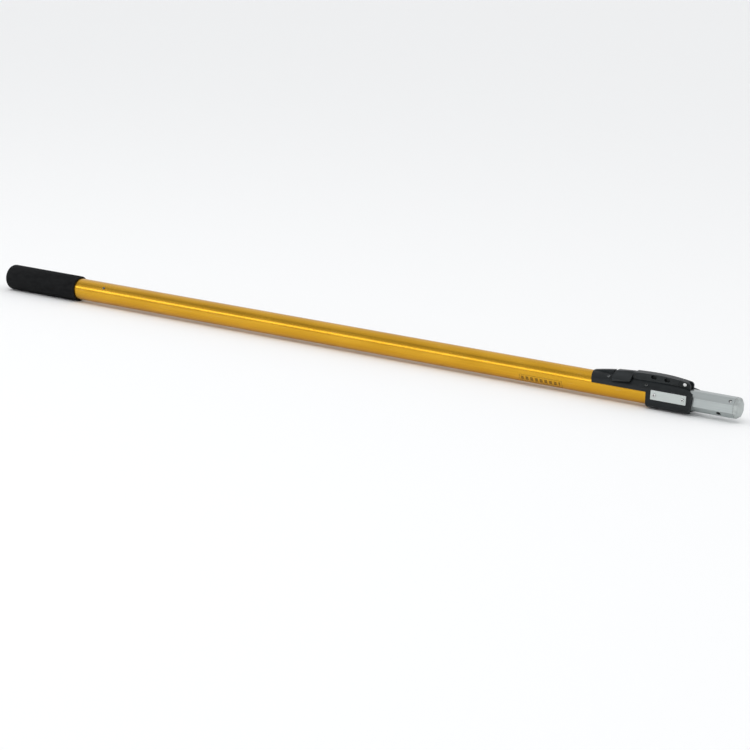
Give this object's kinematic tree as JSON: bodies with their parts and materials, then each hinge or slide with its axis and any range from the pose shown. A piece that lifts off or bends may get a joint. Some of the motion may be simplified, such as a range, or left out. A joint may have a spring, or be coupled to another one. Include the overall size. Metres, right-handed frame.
{
  "type": "roller extension pole",
  "caption": "Telescopic painting pole: gold round outer tube with black grip, octagonal silver inner tube, black cam-lever lock that clamps it at any length.",
  "frame": {"origin": "centre of the grip's flat butt face, on the axis of the pole", "axes": "+X along the pole from the grip to the tool end, +Z towards the lever, +Y to the left side plate"},
  "size_m": [1.192, 0.0388, 0.0443],
  "materials": {
    "gold_anodised": "gold anodised, satin",
    "silver_anodised": "clear anodised extrusion, satin",
    "nose_aluminium": "die-cast, bead blasted",
    "plate_steel": "brushed",
    "bright_steel": "zinc plated, bright",
    "black_nylon": "glass-filled nylon, fine moulded grain",
    "lever_nylon": "glass-filled nylon, slightly smoother",
    "grip_rubber": "matte, fine grain",
    "bush_acetal": "natural grey acetal",
    "brake_rubber": "moulded friction rubber"
  },
  "bodies": {
    "outer_pole": {"outer_tube": "gold_anodised", "grip_sleeve": "grip_rubber", "tube_end_plug": "black_nylon", "retract_stop": "grip_rubber", "lock_housing": "black_nylon", "guide_bush": "bush_acetal", "lever_pin": "bright_steel", "side_plate_right": "plate_steel", "plate_screw_rear_right": "bright_steel", "plate_screw_front_right": "bright_steel", "roll_pin_right": "bright_steel", "saddle_rivet_right": "plate_steel", "stop_rivet_right": "plate_steel", "side_plate_left": "plate_steel", "plate_screw_rear_left": "bright_steel", "plate_screw_front_left": "bright_steel", "roll_pin_left": "bright_steel", "saddle_rivet_left": "plate_steel", "stop_rivet_left": "plate_steel"},
    "inner_pole": {"inner_tube": "silver_anodised", "nose_plug": "nose_aluminium", "rear_slide_plug": "bush_acetal", "nose_pin_right": "bright_steel", "slide_plug_rivet_right": "plate_steel", "nose_pin_left": "bright_steel", "slide_plug_rivet_left": "plate_steel"},
    "lever": {"cam_lever": "lever_nylon", "thumb_pad": "lever_nylon", "pad_screw": "bright_steel"},
    "brake": {"brake_shoe": "brake_rubber"}
  },
  "joints": [
    {"name": "pole_extension", "type": "slide", "parent": "outer_pole", "child": "inner_pole", "axis": [1, 0, 0], "range_m": [0, 0.8]},
    {"name": "lever_flip", "type": "hinge", "parent": "outer_pole", "child": "lever", "pos_m": [1.1165, 0, 0.0192], "axis": [0, 1, 0], "range_deg": [0, 80]},
    {"name": "brake_lift", "type": "slide", "parent": "outer_pole", "child": "brake", "axis": [0, 0, 1], "range_m": [0, 0.0009], "stiffness_N_per_m": 0.2, "springref_m": 0.01719}
  ],
  "couplings": [
    {"joint": "brake_lift", "follows": "lever_flip", "m_per_rad": 0.00064}
  ]
}
